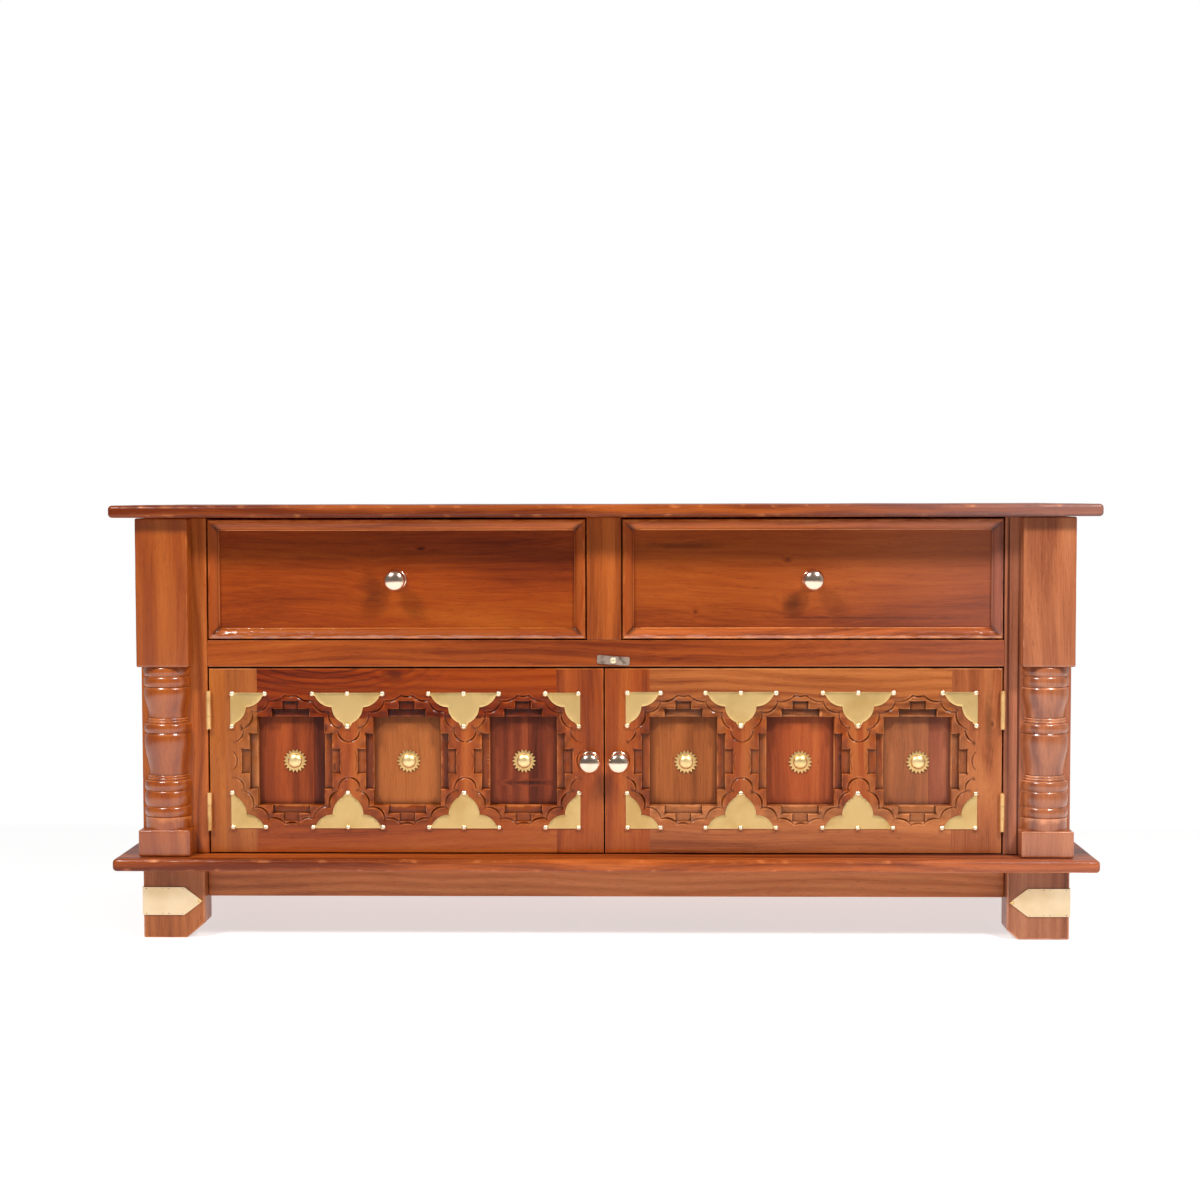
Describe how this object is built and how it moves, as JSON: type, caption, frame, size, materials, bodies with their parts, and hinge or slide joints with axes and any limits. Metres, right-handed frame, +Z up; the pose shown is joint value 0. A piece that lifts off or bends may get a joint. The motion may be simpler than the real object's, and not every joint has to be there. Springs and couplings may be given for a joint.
{
  "type": "carved sideboard",
  "caption": "Low carved hardwood sideboard with drawers over hinged panelled doors, split turned posts, brass fittings and bracket feet.",
  "frame": {"origin": "middle of the footprint, on the floor", "axes": "+X along the length to the right as seen from the front, -Y out of the front, +Z up"},
  "size_m": [1.22, 0.406, 0.542],
  "materials": {
    "case_wood": "glossy clear lacquer over orange-brown hardwood",
    "red_wood": "glossy clear lacquer over redder hardwood",
    "carved_wood": "glossy clear lacquer over carved hardwood",
    "panel_wood": "satin lacquer over dark mixed staves",
    "inner_wood": "unfinished pale hardwood and board",
    "sheet_brass": "pale sheet brass, lightly brushed",
    "polished_brass": "polished pale brass",
    "aged_steel": "aged grey-brown metal"
  },
  "bodies": {
    "carcass": {"top_board": "case_wood", "base_board": "case_wood", "left_front_stile": "case_wood", "right_front_stile": "case_wood", "left_split_post": "case_wood", "right_split_post": "case_wood", "left_side_board": "case_wood", "right_side_board": "case_wood", "centre_stile": "case_wood", "left_front_foot": "case_wood", "right_front_foot": "case_wood", "left_rear_foot": "case_wood", "right_rear_foot": "case_wood", "drawer_rail": "red_wood", "front_apron": "red_wood", "left_apron": "red_wood", "right_apron": "red_wood", "back_panel": "inner_wood", "drawer_shelf": "inner_wood", "centre_drawer_guide": "inner_wood", "left_drawer_guide": "inner_wood", "right_drawer_guide": "inner_wood", "left_foot_strap": "sheet_brass", "right_foot_strap": "sheet_brass", "left_upper_frame_leaf": "sheet_brass", "left_lower_frame_leaf": "sheet_brass", "right_upper_frame_leaf": "sheet_brass", "right_lower_frame_leaf": "sheet_brass", "turn_button_screw": "sheet_brass"},
    "turn_button": {"turn_button": "aged_steel"},
    "left_door": {"left_door_frame": "carved_wood", "left_door_panel": "panel_wood", "left_door_left_rosette": "sheet_brass", "left_door_middle_rosette": "sheet_brass", "left_door_right_rosette": "sheet_brass", "left_door_knob": "polished_brass", "left_upper_door_leaf": "sheet_brass", "left_lower_door_leaf": "sheet_brass"},
    "right_door": {"right_door_frame": "carved_wood", "right_door_panel": "panel_wood", "right_door_left_rosette": "sheet_brass", "right_door_middle_rosette": "sheet_brass", "right_door_right_rosette": "sheet_brass", "right_door_knob": "polished_brass", "right_upper_door_leaf": "sheet_brass", "right_lower_door_leaf": "sheet_brass"},
    "left_drawer": {"left_drawer_front": "red_wood", "left_drawer_moulding": "red_wood", "left_drawer_left_side": "inner_wood", "left_drawer_right_side": "inner_wood", "left_drawer_back": "inner_wood", "left_drawer_bottom": "inner_wood", "left_drawer_knob": "polished_brass"},
    "right_drawer": {"right_drawer_front": "red_wood", "right_drawer_moulding": "red_wood", "right_drawer_left_side": "inner_wood", "right_drawer_right_side": "inner_wood", "right_drawer_back": "inner_wood", "right_drawer_bottom": "inner_wood", "right_drawer_knob": "polished_brass"}
  },
  "joints": [
    {"name": "left_drawer_slide", "type": "slide", "parent": "carcass", "child": "left_drawer", "axis": [0, -1, 0], "range_m": [0, 0.24]},
    {"name": "right_drawer_slide", "type": "slide", "parent": "carcass", "child": "right_drawer", "axis": [0, -1, 0], "range_m": [0, 0.24]},
    {"name": "left_door_hinge", "type": "hinge", "parent": "carcass", "child": "left_door", "pos_m": [-0.4957, -0.1634, 0.2215], "axis": [0, 0, -1], "range_deg": [0, 110]},
    {"name": "right_door_hinge", "type": "hinge", "parent": "carcass", "child": "right_door", "pos_m": [0.4957, -0.1634, 0.2215], "axis": [0, 0, 1], "range_deg": [0, 110]},
    {"name": "turn_button_pivot", "type": "hinge", "parent": "carcass", "child": "turn_button", "pos_m": [0.0115, -0.1617, 0.3475], "axis": [0, 1, 0], "continuous": true}
  ]
}
